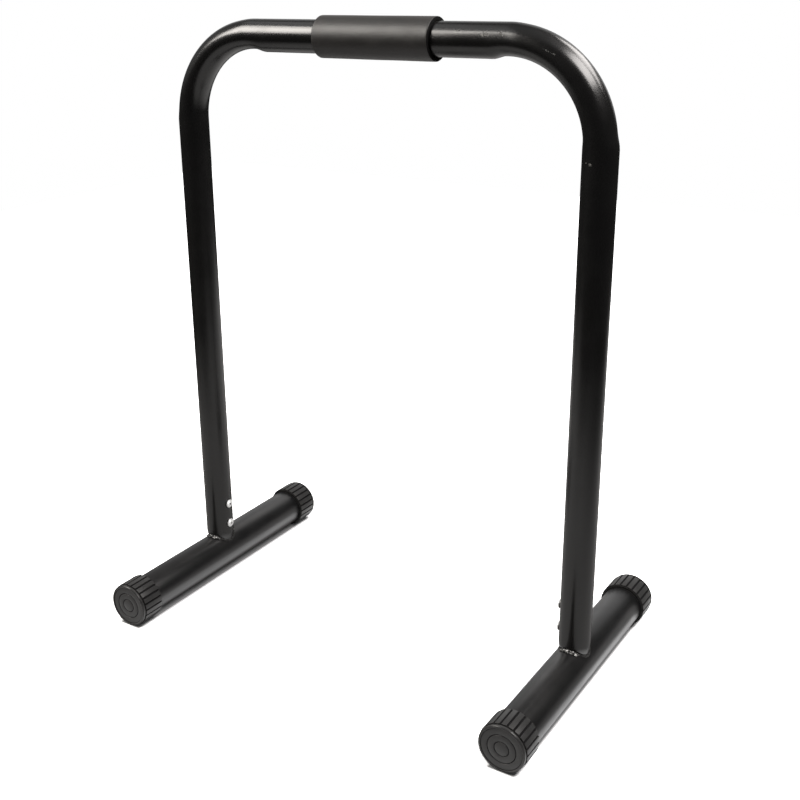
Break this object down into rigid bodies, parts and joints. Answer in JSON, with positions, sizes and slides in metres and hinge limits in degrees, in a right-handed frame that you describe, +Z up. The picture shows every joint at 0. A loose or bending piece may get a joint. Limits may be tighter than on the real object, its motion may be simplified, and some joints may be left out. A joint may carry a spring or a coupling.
{
  "type": "dip station",
  "caption": "Free-standing dip bar: a bent steel tube arch with a foam hand grip, screwed onto spigots on cross floor tubes that end in ribbed plastic caps.",
  "frame": {"origin": "on the floor, midway between the two uprights and the two ends of the floor tubes", "axes": "+Z up from the floor, X along the bar with +X to the right as seen from the front, Y along the floor tubes with +Y to the rear"},
  "size_m": [0.6082, 0.38, 0.769],
  "materials": {
    "powder_coat": "satin black powder coat",
    "foam": "matte dark grey closed-cell foam with a skin",
    "cap_plastic": "matte black moulded plastic with a fine grain",
    "zinc_plate": "bright zinc plating",
    "weld": "silvery weld metal under thin paint"
  },
  "bodies": {
    "root": {"bent_frame_tube": "powder_coat", "grip_sleeve": "foam", "floor_tube_left": "powder_coat", "floor_tube_right": "powder_coat", "spigot_left": "powder_coat", "spigot_right": "powder_coat", "weld_bead_left": "weld", "weld_bead_right": "weld", "end_cap_front_left": "cap_plastic", "end_cap_front_right": "cap_plastic", "end_cap_rear_left": "cap_plastic", "end_cap_rear_right": "cap_plastic", "screw_lower_left": "zinc_plate", "screw_lower_right": "zinc_plate", "screw_upper_left": "zinc_plate", "screw_upper_right": "zinc_plate", "weld_nut_lower_left": "zinc_plate", "weld_nut_lower_right": "zinc_plate", "weld_nut_upper_left": "zinc_plate", "weld_nut_upper_right": "zinc_plate"}
  },
  "joints": []
}
